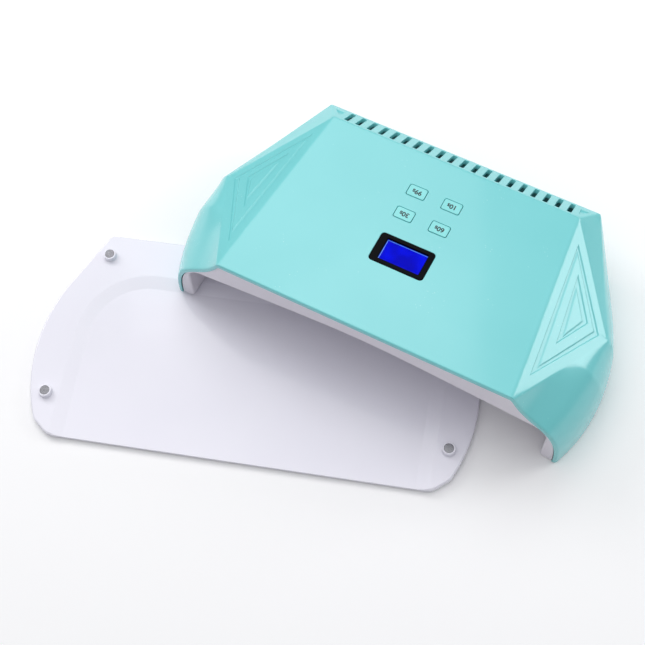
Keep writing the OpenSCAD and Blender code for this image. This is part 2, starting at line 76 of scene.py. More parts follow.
class Graph:
    """Adds nodes to a shader or geometry tree."""

    def __init__(self, tree):
        self.tree = tree

    def node(self, kind, settings=None, inputs=None, out=0):
        made = self.tree.nodes.new(kind)
        for name, value in (settings or {}).items():
            setattr(made, name, value)
        for name, value in (inputs or {}).items():
            if isinstance(value, Socket):
                self.tree.links.new(value.out, made.inputs[name])
            else:
                made.inputs[name].default_value = value
        return Socket(self, made.outputs[out]) if len(made.outputs) else made

    def maths(self, operation, a, b):
        return self.node("ShaderNodeMath", {"operation": operation}, {0: a, 1: b})

    def mix(self, share, a, b):
        """Colour between a and b."""
        a, b = [v if isinstance(v, Socket) else (*v, 1) for v in (a, b)]
        return self.node("ShaderNodeMix", {"data_type": "RGBA"}, {0: share, 6: a, 7: b}, 2)

    def place(self, turn=(0, 0, 0), scale=(1, 1, 1)):
        """Object coordinates, turned and stretched."""
        coords = self.node("ShaderNodeTexCoord", out=3)
        return self.node("ShaderNodeMapping", {"vector_type": "TEXTURE"},
                         {0: coords, 2: turn, 3: scale})

    def noise(self, place, scale, detail=2.0, rough=0.5):
        return self.node("ShaderNodeTexNoise", {"noise_dimensions": "3D"},
                         {"Vector": place, "Scale": scale, "Detail": detail, "Roughness": rough})

    def cells(self, place, scale):
        return self.node("ShaderNodeTexVoronoi", {"feature": "F1"}, {"Vector": place, "Scale": scale})

    def bump(self, height, depth):
        return self.node("ShaderNodeBump", None, {"Height": height, "Distance": depth, "Strength": 1.0})


def srgb(r, g, b):
    """Linear colour of an 8-bit one."""
    return tuple((v / 255 / 12.92) if v <= 10 else ((v / 255 + 0.055) / 1.055) ** 2.4 for v in (r, g, b))


def material(name, build, **constants):
    """A Principled material whose varying values come from build(graph)."""
    made = bpy.data.materials.new(name)
    made.use_nodes = True
    tree = made.node_tree
    tree.nodes.clear()
    graph = Graph(tree)
    varying = build(graph)
    shader = graph.node("ShaderNodeBsdfPrincipled", None, {**constants, **varying})
    graph.node("ShaderNodeOutputMaterial", None, {"Surface": shader})
    return made


def moulded(colour, dark, gloss=0.2, dust=0.25, peel=0.000012):
    """Injection-moulded plastic: slow tone drift, flow haze, fine orange peel and a little dust."""
    def build(g):
        here = g.place()
        drift = g.noise(here, 9, 3)
        haze = g.noise(g.place(turn=(0.2, 0, 0.6), scale=(1, 3.5, 1)), 26, 4, 0.6)
        speck = g.cells(here, 420)
        grain = g.noise(here, 2600, 2)
        dots = 1 - speck.band(0.05, 0.16)
        sparse = g.noise(here, 60, 2).band(0.58, 0.7)
        tone = g.mix(drift.band(0.35, 0.7) * 0.35, colour, dark)
        tone = g.mix(dots * sparse * dust, tone, (0.8, 0.82, 0.82))
        rough = gloss + haze * 0.08 + grain * 0.03 + dots * sparse * 0.2
        height = g.noise(here, 520, 2) + grain * 0.25
        return {"Base Color": tone, "Roughness": rough, "Normal": g.bump(height, peel)}
    return build


def metal_look(colour, dark, lines=900, turn=(0, 0, 0), gloss=0.18):
    """Machined or plated metal: fine drawn lines, faint tarnish and small scratches."""
    def build(g):
        here = g.place(turn=turn)
        drawn = g.noise(g.place(turn=turn, scale=(1, 0.06, 1)), lines, 2)
        tarnish = g.noise(here, 180, 4, 0.6).band(0.5, 0.75)
        scratch = g.noise(g.place(turn=(0, 0, 0.7), scale=(1, 0.03, 1)), 1500, 1).band(0.66, 0.72)
        return {"Base Color": g.mix(tarnish * 0.5, colour, dark),
                "Roughness": gloss + drawn * 0.14 + tarnish * 0.15 + scratch * 0.1,
                "Normal": g.bump(drawn * 0.6 - scratch, 0.000012)}
    return build


def rubbery(colour, dark, fine=1800):
    """Matt rubber or cable jacket: soft mottling, tiny pores and grey dust."""
    def build(g):
        here = g.place()
        mottle = g.noise(here, 70, 4, 0.6)
        pores = g.cells(here, fine).band(0.0, 0.35)
        return {"Base Color": g.mix(mottle.band(0.4, 0.75) * 0.6, colour, dark),
                "Roughness": 0.62 + mottle * 0.15,
                "Normal": g.bump(pores + mottle * 0.3, 0.00002)}
    return build


def circuit(mask, light, copper, pitch=0.0026):
    """Solder mask with traces under it, plated pads and fine weave."""
    def build(g):
        here = g.place()
        split = g.node("ShaderNodeSeparateXYZ", None, {0: here})
        other = Socket(g, split.out.node.outputs[1])
        wander = g.noise(here, 160, 1) * 0.9
        across = g.maths("PINGPONG", split / pitch + wander, 0.5)
        along = g.maths("PINGPONG", other / (pitch * 1.7) + wander, 0.5)
        trace = across.band(0.30, 0.34) * g.noise(here, 90, 1).band(0.42, 0.46)
        trace = g.maths("MAXIMUM", trace, along.band(0.36, 0.40) * g.noise(here, 70, 1).band(0.5, 0.54))
        pads = 1 - g.cells(here, 210).band(0.16, 0.2)
        pads = pads * g.noise(here, 45, 1).band(0.52, 0.56)
        weave = g.noise(here, 2400, 2)
        tone = g.mix(pads, g.mix(trace * 0.7, mask, light), copper)
        return {"Base Color": tone, "Roughness": 0.42 - pads * 0.16 + weave * 0.1, "Metallic": pads * 0.9,
                "Normal": g.bump(trace * 0.6 + pads * 0.8 + weave * 0.15, 0.00003)}
    return build


def resin(colour, dark):
    """Cast lamp resin: smooth, with a darker and slightly uneven core."""
    def build(g):
        here = g.place()
        core = g.noise(here, 300, 2)
        return {"Base Color": g.mix(core.band(0.35, 0.7), colour, dark), "Roughness": 0.08 + core * 0.08,
                "Normal": g.bump(core, 0.00001)}
    return build


MINT = srgb(124, 211, 213)
MINT_DEEP = srgb(106, 198, 200)
WHITE = srgb(238, 237, 246)
finish = {
    "mint_plastic": material("hood_mint_plastic", moulded(MINT, MINT_DEEP, 0.2), IOR=1.5, **{
        "Coat Weight": 0.35, "Coat Roughness": 0.08}),
    "key_mint": material("key_mint_plastic", moulded(srgb(138, 226, 224), MINT_DEEP, 0.24), IOR=1.5, **{
        "Coat Weight": 0.2, "Coat Roughness": 0.1}),
    "liner_plastic": material("liner_white_plastic", moulded(srgb(230, 226, 234), srgb(220, 216, 226), 0.26),
                              IOR=1.5),
    "plate_plastic": material("plate_white_plastic", moulded(WHITE, srgb(230, 228, 240), 0.12), IOR=1.5, **{
        "Coat Weight": 0.3, "Coat Roughness": 0.06}),
    "nickel": material("magnet_nickel", metal_look(srgb(132, 132, 136), srgb(96, 96, 102), gloss=0.2),
                       Metallic=1.0),
    "screw_steel": material("screw_steel", metal_look(srgb(176, 176, 182), srgb(118, 116, 116), 1400,
                                                      (0, 0, 0.4), 0.26), Metallic=1.0),
    "pin_brass": material("inlet_pin_metal", metal_look(srgb(220, 204, 150), srgb(160, 138, 88), 1600),
                          Metallic=1.0),
    "foot_rubber": material("foot_rubber", rubbery(srgb(54, 54, 57), srgb(78, 77, 80))),
    "lead_black": material("lead_black_jacket", rubbery(srgb(24, 24, 26), srgb(44, 44, 47), 2600)),
    "lead_red": material("lead_red_jacket", rubbery(srgb(178, 26, 22), srgb(128, 20, 18), 2600)),
    "bezel_plastic": material("bezel_black_gloss", moulded(srgb(6, 6, 8), srgb(12, 12, 15), 0.1, 0.12),
                              IOR=1.5, **{"Specular IOR Level": 0.03}),
    "part_black": material("component_black", moulded(srgb(28, 28, 31), srgb(40, 40, 44), 0.42, 0.3,
                                                      0.00002)),
    "capacitor_sleeve": material("capacitor_sleeve", moulded(srgb(30, 33, 60), srgb(20, 22, 44), 0.3)),
    "header_nylon": material("header_nylon", moulded(srgb(232, 228, 214), srgb(214, 208, 190), 0.45)),
    "lcd_frame": material("display_frame_plastic", moulded(srgb(216, 220, 226), srgb(196, 200, 208), 0.4)),
    "board_green": material("control_board_green", circuit(srgb(20, 84, 42), srgb(38, 118, 60),
                                                           srgb(206, 190, 150))),
    "board_white": material("lamp_board_white", circuit(srgb(226, 228, 230), srgb(206, 210, 212),
                                                        srgb(200, 196, 186), 0.004)),
    "lamp_lens": material("lamp_resin", resin(srgb(226, 218, 244), srgb(196, 186, 226)), IOR=1.5, **{
        "Transmission Weight": 0.35}),
    "lamp_chip": material("lamp_chip", resin(srgb(232, 208, 120), srgb(206, 176, 92))),
    "sensor_lens": material("sensor_dark_resin", resin(srgb(52, 12, 20), srgb(30, 8, 14)), IOR=1.5),
    "label_ink": material("label_ink", moulded(srgb(22, 24, 28), srgb(34, 37, 42), 0.4, 0.1)),
}


def display_blue(g):
    """Lit blue panel: fine dot matrix and a slow brightness drift."""
    here = g.place()
    drift = g.noise(here, 60, 2)
    dots = g.cells(here, 1700).band(0.25, 0.6)
    tone = g.mix(drift.band(0.3, 0.7), srgb(1, 12, 214), srgb(2, 4, 160))
    tone = g.mix(dots * 0.12, tone, srgb(2, 4, 60))
    return {"Base Color": tone, "Emission Color": tone, "Roughness": 0.12 + drift * 0.05,
            "Normal": g.bump(dots, 0.000004)}


finish["lcd_blue"] = material("display_blue_glass", display_blue, IOR=1.5, **{
    "Emission Strength": 0.5, "Specular IOR Level": 0.02})
# Pale blue glow for two thin strips on the display glass: a painted highlight, light catching the window's
# back and left edges, made to glow.
finish["lcd_painted_highlight"] = material("display_painted_edge_highlight", resin(srgb(96, 150, 236), srgb(60, 112, 214)), **{
    "Emission Color": (*srgb(84, 140, 236), 1), "Emission Strength": 0.35})

# ------------------------------------------------------------------ sizes of the hood and the plate
HOOD_AT, HOOD_LEAN = (30.34, -12.86, 3.0), math.radians(1.15)
PLATE_AT, PLATE_TURN = (-21.06, -75.06, 0), math.radians(17.55)
FRONT_Z, BACK_Z, TOP_DEPTH = 67.5, 56.5, 134
RIDGE_Z, RIDGE_DEPTH = 43.5, 150.5
CORNER_A, CORNER_B = Vector((86, 134, 56.5)), Vector((96, 150.5, 43.5))
SHOULDER_Y = 71
CORNER_C, CORNER_D = Vector((132, SHOULDER_Y, 41.5)), Vector((97, 0, 67.5))
SHELL_T, RIM_T, FOOT_DEPTH = 2.4, 3.9, 133
CAVITY_DEPTH, LINER_T, LEG_R = 119, 2.0, 12
TOP_TILT = math.atan((FRONT_Z - BACK_Z) / TOP_DEPTH)
BAND_TILT = math.atan((BACK_Z - RIDGE_Z) / (RIDGE_DEPTH - TOP_DEPTH))
BACK_LEAN = math.atan((RIDGE_DEPTH - FOOT_DEPTH) / RIDGE_Z)
DISPLAY_Y = 57.6
WINDOW_W, WINDOW_D, WINDOW_X, WINDOW_Y = 27.4, 15.4, 0.6, 57.8
VENTS, VENT_PITCH, VENT_W, VENT_L, BAND_MID = 20, 8.23, 3.2, 15.5, 10.5
KEYS = {"10s": (12, 104.8), "60s": (12, 86), "30s": (-12, 86), "99s": (-12, 104.8)}
SCREWS = [(s * x, y) for x, y in ((134, 45), (127, 84), (62, 126.6)) for s in (1, -1)]
JOIN_Y, PORCH, PAD_H, PLATE_T, BOSS_H = 14.3, 13, 1.0, 4.4, 4.0
PLATE_Z = PAD_H + PLATE_T
MAGNETS = [(130, 0), (-130, 0), (112.5, 102.7), (-112.5, 102.7)]
MM, UP = Matrix.Scale(0.001, 4), Vector((0, 0, 1))
IN_HOOD = MM @ Matrix.Translation(HOOD_AT) @ Matrix.Rotation(HOOD_LEAN, 4, "Y")
IN_PLATE = MM @ Matrix.Translation(PLATE_AT) @ Matrix.Rotation(PLATE_TURN, 4, "Z")


def lookup(x, table):
    if x <= table[0][0]:
        return table[0][1]
    for (x0, y0), (x1, y1) in zip(table, table[1:]):
        if x <= x1:
            return y0 + (y1 - y0) * (x - x0) / (x1 - x0)
    return table[-1][1]


def foot_w(y):
    """Half width of the hood's foot."""
    turn = 46 + 113 * math.sin(math.atan(0.5))
    arc = 144.15 - 113 + math.sqrt(113 ** 2 - (min(y, turn) - 46) ** 2)
    return arc - 0.5 * max(0, y - turn)


def leg(y):
    return lookup(y, [(0, 10.7), (6, 14), (14, 17.2), (30, 19), (55, 19), (80, 20), (100, 22), (124, 25)])


def smooth_leg(y):
    """The leg's thickness without corners between the stations."""
    return sum(leg(max(0, y + d)) for d in (-4, -2, 0, 2, 4)) / 5


def roof_z(x, y, grow=0):
    return 50 + grow - 0.125 * (math.sqrt(x * x + 900) - 30) - 9 * y / 124


def on_top(x, y, z=0):
    return (Matrix.Translation((0, 0, FRONT_Z)) @ Matrix.Rotation(-TOP_TILT, 4, "X")
            @ Matrix.Translation((x, y / math.cos(TOP_TILT), z)))


def on_band(x=0, y=0, z=0):
    return (Matrix.Translation((0, TOP_DEPTH, BACK_Z)) @ Matrix.Rotation(-BAND_TILT, 4, "X")
            @ Matrix.Translation((x, y, z)))


def on_back(x, y, z=0):
    return (Matrix.Translation((0, FOOT_DEPTH, 0)) @ Matrix.Rotation(math.pi / 2 - BACK_LEAN, 4, "X")
            @ Matrix.Translation((x, y, z)))


def on_roof(side, x=0, y=0, z=0):
    """On one half of the roof, z out of the hand space; the left half mirrors the right one."""
    tilt, pitch = math.atan(0.125 * 0.87), math.atan(9 / 124)
    right = (Matrix.Translation((62, 55, roof_z(62, 55))) @ Matrix.Rotation(tilt, 4, "Y")
             @ Matrix.Rotation(-pitch, 4, "X") @ Matrix.Translation((x, y, z)))
    return (Matrix.Scale(-1, 4, (1, 0, 0)) @ right) if side < 0 else right


# ------------------------------------------------------------------ making and finishing pieces
def mesh_object(name, verts, faces, outward=True):
    mesh = bpy.data.meshes.new(name)
    mesh.from_pydata([tuple(v) for v in verts], [], faces)
    mesh.update()
    made = bpy.data.objects.new(name, mesh)
    bpy.context.scene.collection.objects.link(made)
    if outward:
        tidy(made)
    return made


def tidy(obj, merge=1e-5):
    """Merges doubles and turns every face outwards."""
    work = bmesh.new()
    work.from_mesh(obj.data)
    bmesh.ops.remove_doubles(work, verts=work.verts, dist=merge)
    bmesh.ops.dissolve_degenerate(work, edges=work.edges, dist=1e-6)
    bmesh.ops.recalc_face_normals(work, faces=work.faces)
    work.to_mesh(obj.data)
    work.free()


def flatten(obj, degrees=0.15):
    """Joins faces that lie in one plane."""
    work = bmesh.new()
    work.from_mesh(obj.data)
    bmesh.ops.dissolve_limit(work, angle_limit=math.radians(degrees), verts=work.verts, edges=work.edges)
    work.to_mesh(obj.data)
    work.free()


def bake(obj):
    """Turns an object with modifiers into a plain mesh."""
    graph = bpy.context.evaluated_depsgraph_get()
    mesh = bpy.data.meshes.new_from_object(obj.evaluated_get(graph))
    obj.modifiers.clear()
    obj.data = mesh
    return obj


def cut(obj, *cutters, join=False):
    for cutter in cutters:
        step = obj.modifiers.new("cut", "BOOLEAN")
        step.operation, step.solver, step.object = ("UNION" if join else "DIFFERENCE"), "EXACT", cutter
    bake(obj)
    for cutter in cutters:
        bpy.data.objects.remove(cutter)
    return obj


def together(name, parts):
    """One object from several separate ones."""
    work = bmesh.new()
    for part in parts:
        work.from_mesh(part.data)
        bpy.data.objects.remove(part)
    mesh = bpy.data.meshes.new(name)
    work.to_mesh(mesh)
    work.free()
    made = bpy.data.objects.new(name, mesh)
    bpy.context.scene.collection.objects.link(made)
    return made


def settle(obj, place, body, slot, *replaced, look=None, sharp=32, weighted=True):
    obj.data.transform(place)
    if place.to_3x3().determinant() < 0:
        obj.data.flip_normals()
    obj.data.materials.clear()
    obj.data.materials.append(finish[look or slot])
    for face in obj.data.polygons:
        face.material_index = 0
    obj.data.shade_smooth()
    obj.data.set_sharp_from_angle(angle=math.radians(sharp))
    if weighted:
        step = obj.modifiers.new("even", "WEIGHTED_NORMAL")
        step.mode, step.weight, step.keep_sharp = "FACE_AREA", 60, True
        bake(obj)
    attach(obj, body)
    for node in replaced:
        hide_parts(node)
    return obj


def wall_faces(n, m, closed=False):
    """Four-sided faces between m rings of n points; closed joins the last ring to the first."""
    return [(k * n + i, k * n + (i + 1) % n, (k + 1) % m * n + (i + 1) % n, (k + 1) % m * n + i)
            for k in range(m if closed else m - 1) for i in range(n)]


def round_ring(r, z, n):
    turns = [2 * math.pi * i / n for i in range(n)]
    return [(r * math.cos(a), r * math.sin(a), z) for a in turns]


def skin(name, rings, place=None):
    """Closed solid through closed rings of equal length."""
    n, m = len(rings[0]), len(rings)
    faces = wall_faces(n, m) + [tuple(range(n)), tuple((m - 1) * n + i for i in range(n))]
    verts = [Vector(p) for ring in rings for p in ring]
    if place:
        verts = [place @ v for v in verts]
    return mesh_object(name, verts, faces)


def stadium(w, d, r, z, steps=6):
    """Rounded rectangle ring at height z."""
    ring = []
    for cx, cy, start in ((1, 1, 0), (-1, 1, 90), (-1, -1, 180), (1, -1, 270)):
        for i in range(steps + 1):
            a = math.radians(start + 90 * i / steps)
            ring.append((cx * (w / 2 - r) + r * math.cos(a), cy * (d / 2 - r) + r * math.sin(a), z))
    return ring


def flared(name, w, d, r, depth, lip, place):
    """Cutter for a hole whose edge is rounded over at the surface."""
    steps = [(0.0, -depth), (0.0, -lip)]
    steps += [(lip * (1 - math.cos(a)), -lip * (1 - math.sin(a))) for a in (0.35, 0.75, 1.15)]
    steps += [(lip, 0.0), (lip, 2.5)]
    return skin(name, [stadium(w + 2 * o, d + 2 * o, r + o, z) for o, z in steps], place)


def turned(name, profile, place, steps=40):
    """Solid of revolution about z from (radius, height) points, with flat ends."""
    return skin(name, [round_ring(r, z, steps) for r, z in profile], place)


def slab(name, w, d, z0, z1, r, edge, place, dish=0.0):
    """Rounded block with a rounded upper and lower edge."""
    rings = []
    for a in (90, 60, 30, 0):
        inset, rise = edge * math.sin(math.radians(a)), edge * (1 - math.cos(math.radians(a)))
        rings.append(stadium(w - 2 * inset, d - 2 * inset, max(r - inset, 0.05), z0 + rise))
    for a in (0, 22, 45, 67, 90):
        inset, drop = edge * (1 - math.cos(math.radians(a))), edge * (1 - math.sin(math.radians(a)))
        rings.append(stadium(w - 2 * inset, d - 2 * inset, max(r - inset, 0.05), z1 - drop))
    for share in (0.8, 0.5, 0.2):
        if dish:
            rings.append(stadium((w - 2 * edge) * share, (d - 2 * edge) * share, r * share,
                                 z1 - dish * (1 - share * share)))
    return skin(name, rings, place)


# ------------------------------------------------------------------ pieces on places, by geometry nodes
def scatter_tree():
    """Sets one item on every point, its z along the point's facing, and gives it its finish."""
    tree = bpy.data.node_groups.new("items_on_places", "GeometryNodeTree")
    face = tree.interface
    face.new_socket(name="Places", in_out="INPUT", socket_type="NodeSocketGeometry")
    face.new_socket(name="Item", in_out="INPUT", socket_type="NodeSocketObject")
    size = face.new_socket(name="Size", in_out="INPUT", socket_type="NodeSocketFloat")
    size.default_value = 1.0
    face.new_socket(name="Turn Spread", in_out="INPUT", socket_type="NodeSocketFloat")
    face.new_socket(name="Finish", in_out="INPUT", socket_type="NodeSocketMaterial")
    face.new_socket(name="Pieces", in_out="OUTPUT", socket_type="NodeSocketGeometry")
    g = Graph(tree)
    start = tree.nodes.new("NodeGroupInput")
    given = {s.name: Socket(g, s) for s in start.outputs if s.name}
    item = g.node("GeometryNodeObjectInfo", {"transform_space": "ORIGINAL"}, {"Object": given["Item"]})
    item = Socket(g, item.out.node.outputs["Geometry"])
    facing = g.node("GeometryNodeInputNamedAttribute", {"data_type": "FLOAT_VECTOR"}, {"Name": "facing"})
    rotation = g.node("FunctionNodeAlignRotationToVector", {"axis": "Z"}, {"Vector": facing})
    spin = g.node("FunctionNodeRandomValue", {"data_type": "FLOAT"}, {"Seed": 7}, 1)
    spin = g.maths("MULTIPLY", spin, given["Turn Spread"])
    twist = g.node("FunctionNodeAxisAngleToRotation", None, {"Axis": (0, 0, 1), "Angle": spin})
    rotation = g.node("FunctionNodeRotateRotation", {"rotation_space": "LOCAL"},
                      {"Rotation": rotation, "Rotate By": twist})
    points = g.node("GeometryNodeMeshToPoints", None, {"Mesh": given["Places"]})
    placed = g.node("GeometryNodeInstanceOnPoints", None,
                    {"Points": points, "Instance": item, "Rotation": rotation, "Scale": given["Size"]})
    real = g.node("GeometryNodeRealizeInstances", None, {"Geometry": placed})
    done = g.node("GeometryNodeSetMaterial", None, {"Geometry": real, "Material": given["Finish"]})
    end = tree.nodes.new("NodeGroupOutput")
    tree.links.new(done.out, end.inputs[0])
    return tree


SCATTER = scatter_tree()


def scatter(name, places, item, look, spread=0.0):
    """Sets the item out on places, which are (point, facing) pairs; spread turns each one at random."""
    mesh = bpy.data.meshes.new(name)
    mesh.from_pydata([tuple(p) for p, _ in places], [], [])
    facing = mesh.attributes.new("facing", "FLOAT_VECTOR", "POINT")
    for slot, (_, way) in zip(facing.data, places):
        slot.vector = Vector(way).normalized()
    host = bpy.data.objects.new(name, mesh)
    bpy.context.scene.collection.objects.link(host)
    step = host.modifiers.new("set_out", "NODES")
    step.node_group = SCATTER
    for socket in SCATTER.interface.items_tree:
        if socket.in_out == "INPUT" and socket.name != "Places":
            step[socket.identifier] = {"Item": item, "Size": 1.0, "Turn Spread": spread,
                                       "Finish": finish[look]}[socket.name]
    bake(host)
    bpy.data.objects.remove(item)
    for extra in [a.name for a in host.data.attributes if a.name == "facing"]:
        host.data.attributes.remove(host.data.attributes[extra])
    return host


def spots(frames):
    """Point and facing of each frame's origin and z axis."""
    return [(m.translation.copy(), m.to_3x3() @ Vector((0, 0, 1))) for m in frames]


# ------------------------------------------------------------------ the hood's shell
def ridge(u, t, td):
    d = CORNER_D + Vector((-0.24 * t + 1.2, 0, -td - 1))
    c = CORNER_C + Vector((-0.85 * t, -0.1 * t, -0.8 * t))
    b = CORNER_B + Vector((-0.6 * t, -t, -0.85 * td))
    return d.lerp(c, u) if u <= 1 else c.lerp(b, u - 1)


def panel_edge(y, t, td):
    d = CORNER_D + Vector((-0.24 * t, 0, -td))
    a = CORNER_A + Vector((-0.3 * t, -0.25 * td, -td))
    b = CORNER_B + Vector((-0.6 * t - 0.8, -t, -0.85 * td))
    return d.lerp(a, y / a.y) if y <= a.y else a.lerp(b, (y - a.y) / (b.y - a.y))


def eased(before, corner, after, reach):
    """Three points that round a corner."""
    one, two = before - corner, after - corner
    p = corner + one * min(0.4, reach / max(one.length, 1e-6))
    q = corner + two * min(0.4, reach / max(two.length, 1e-6))
    return [p, (p + q) / 4 + corner / 2, q]


def shell_ring(u, t=0.0, td=0.0, foot=0.5, steps=22):
    """One cross-section of the shell, from the right foot over the top to the left foot."""
    r = ridge(u, t, td)
    a = CORNER_A + Vector((-0.3 * t, -0.25 * td, -td))
    b_y = CORNER_B.y - t
    c = ridge(1, t, td)
    e = panel_edge(min(r.y, b_y), t, td)
    fold = c.lerp(a, (r.y - c.y) / (a.y - c.y)) if u > 1 and r.y < a.y else (e + r) / 2
    f_y = CORNER_C.y * u if u <= 1 else CORNER_C.y + (FOOT_DEPTH - t - CORNER_C.y) * (u - 1)
    f_x = foot_w(f_y) - t
    out = (lookup(u, [(0, 14.8), (0.63, 13.8), (1, 6), (2, 6)]),
           lookup(u, [(0, -28.6), (0.63, -5), (1, -2.5), (2, -11.5)]))
    knee = (lookup(u, [(0, -0.5), (0.63, 0.7), (1, 0), (2, -4)]),
            lookup(u, [(0, 49), (0.63, 36), (1, 22), (2, 14)]))
    px = (r.x, r.x + out[0], f_x + knee[0], f_x)
    pz = (r.z, r.z + out[1], knee[1] - 0.6 * t, 0.0)
    wall = []
    for i in range(steps, 0, -1):
        s = i / steps
        w = ((1 - s) ** 3, 3 * s * (1 - s) ** 2, 3 * s * s * (1 - s), s ** 3)
        x, z = sum(p * q for p, q in zip(px, w)), sum(p * q for p, q in zip(pz, w))
        wall.append(Vector((x, f_y + (r.y - f_y) * max(z, 0) / r.z, z)))
    low = wall[0]
    wall[0] = Vector((low.x, low.y, foot))
    under = [Vector((low.x - foot, low.y, 0)), Vector((low.x - 0.3 * foot, low.y, 0.3 * foot))]
    half = under + wall + eased(wall[-1], r, fold, 0.9) + eased(r, fold, e, 0.7)
    half += eased(fold, e, Vector((0, e.y, e.z)), 1.3) + [Vector((e.x * k, e.y, e.z)) for k in (0.5, 0)]
    return half + [Vector((-p.x, p.y, p.z)) for p in reversed(half[:-1])]


def at_depth(ring, y):
    return [Vector((p.x, y, p.z)) for p in ring]


def shell():
    crease = 1 + (TOP_DEPTH - CORNER_C.y) / (RIDGE_DEPTH - CORNER_C.y)
    us = [0.02 + 0.98 * i / 48 for i in range(49)] + [1 + 0.013 * i for i in range(1, 4)]
    us += [1.06 + (crease - 1.07) * i / 32 for i in range(33)] + [crease - 0.008, crease + 0.008]
    us += [crease + 0.02 + (1.985 - crease - 0.02) * i / 10 for i in range(11)]
    lip, lip_depths, back_edge = 1.3, (0.0, 0.12, 0.4, 0.8), ((1.993, 0.3), (2, 1.0))
    outer = []
    for y in lip_depths:
        drawn = lip - math.sqrt(lip * lip - (lip - y) ** 2)
        outer.append(at_depth(shell_ring(y / SHOULDER_Y, drawn, drawn), y))
    outer += [shell_ring(u) for u in us]
    for u, drawn in back_edge:
        outer.append([p + Vector((0, drawn, 0)) for p in shell_ring(u, drawn, drawn)])
    inner = []
    for u in [y / SHOULDER_Y for y in lip_depths] + us + [u for u, _ in back_edge]:
        deep = min(1.0, max(0.0, (u * SHOULDER_Y - 4.0) / 1.2))
        grow = 0.35 * max(0.0, 1 - u * SHOULDER_Y / 0.35)
        t = RIM_T * 0.7 + (SHELL_T - RIM_T * 0.7) * deep - grow
        td = RIM_T + (SHELL_T - RIM_T) * deep - grow
        inner.append(shell_ring(u, t, td, 0.3))
    n, m = len(outer[0]), len(outer)
    verts = [p for ring in outer + inner for p in ring]
    at = [lambda k, i: k * n + i, lambda k, i: (m + k) * n + i]
    faces = []
    for side in at:
        faces += [(side(k, i), side(k, i + 1), side(k + 1, i + 1), side(k + 1, i))
                  for k in range(m - 1) for i in range(n - 1)]
        top = n // 2 - 10
        faces += [(side(m - 1, i), side(m - 1, i + 1), side(m - 1, n - 2 - i), side(m - 1, n - 1 - i))
                  for i in range(top)]
        faces.append(tuple(side(m - 1, i) for i in range(top, n - top)))
    out, in_ = at
    faces += [(out(0, i), in_(0, i), in_(0, i + 1), out(0, i + 1)) for i in range(n - 1)]
    for i in (0, n - 1):
        faces += [(out(k, i), out(k + 1, i), in_(k + 1, i), in_(k, i)) for k in range(m - 1)]
    faces.append((out(m - 1, 0), out(m - 1, n - 1), in_(m - 1, n - 1), in_(m - 1, 0)))
    return mesh_object("hood_shell", verts, faces)


RELIEF = [((0.80, 0.13, 0.07), (0.07, 0.86, 0.07), (0.08, 0.13, 0.79)),
          ((0.73, 0.17, 0.10), (0.12, 0.77, 0.11), (0.11, 0.21, 0.68)),
          ((0.58, 0.28, 0.14), (0.20, 0.65, 0.15), (0.19, 0.32, 0.49)),
          ((0.47, 0.34, 0.19), (0.24, 0.56, 0.20), (0.22, 0.39, 0.39))]
PANEL_N = (CORNER_C - CORNER_D).cross(CORNER_A - CORNER_D).normalized()


def relief_loop(step, drawn_in, height):
    """A relief triangle, its sides moved inward, at a height over the side panel."""
    a, c, d = [CORNER_A * s[0] + CORNER_C * s[1] + CORNER_D * s[2] for s in RELIEF[step]]
    sides = ((c - d).length, (d - a).length, (a - c).length)
    centre = (a * sides[0] + c * sides[1] + d * sides[2]) / sum(sides)
    radius = (c - a).cross(d - a).length / sum(sides)
    return [centre + (p - centre) * (radius - drawn_in) / radius + PANEL_N * height for p in (a, c, d)]


def relief_groove(outer, inner, side):
    loops = [relief_loop(outer, -0.25, 1.0), relief_loop(outer, -0.25, 0.0), relief_loop(outer, 0.1, -0.4),
             relief_loop(outer, 0.4, -0.8), relief_loop(inner, -0.9, -0.8), relief_loop(inner, -0.12, -0.15),
             relief_loop(inner, 0.15, 0.0), relief_loop(inner, 0.15, 1.0)]
    verts = [Vector((side * p.x, p.y, p.z)) for loop in loops for p in loop]
    n = len(loops)
    faces = [(k * 3 + i, k * 3 + (i + 1) % 3, (k + 1) % n * 3 + (i + 1) % 3, (k + 1) % n * 3 + i)
             for k in range(n) for i in range(3)]
    return mesh_object("relief_groove", verts, faces)


def slot_row():
    """The cutter of the vent slots: one flared slot set out along the band."""
    one = flared("vent_slot", VENT_W, VENT_L, 0.8, 5.5, 0.3, Matrix.Identity(4))
    way = on_band().to_3x3() @ Vector((0, 0, 1))
    places = [(on_band((i - (VENTS - 1) / 2) * VENT_PITCH, BAND_MID).translation, way) for i in range(VENTS)]
    return scatter("vent_slots", places, one, "mint_plastic")


hood = shell()
flatten(hood)
cutters = [relief_groove(a, b, s) for s in (1, -1) for a, b in ((0, 1), (2, 3))]
cutters += [slot_row()]
for s in (1, -1):
    corners = [Vector((s * x, y, 0)) for x, y in ((84.4, 5.5), (90.2, 14.8), (83.6, 14.8))]
    centre = sum(corners, Vector()) / 3
    rings = [[centre + (p - centre) * k + Vector((0, 0, z)) for p in corners]
             for k, z in ((0.86, -1.0), (0.94, -0.4), (1.0, -0.1), (1.03, 0.0), (1.03, 1.5))]
    cutters.append(skin("end_recess", rings, on_band()))
cutters += [flared("key_opening", 12.7, 8.9, 1.4, 5, 0.25, on_top(x, y)) for x, y in KEYS.values()]
cutters.append(flared("display_opening", 36.7, 21.9, 2.4, 5, 0.3, on_top(0, DISPLAY_Y)))
cutters.append(flared("inlet_opening", 8.5, 8.5, 4.24, 4, 0.4,
                      on_back(80, 20) @ Matrix.Rotation(math.pi, 4, "X")))
cut(hood, *cutters)
settle(hood, IN_HOOD, "hood", "mint_plastic", "top_cover", sharp=24)


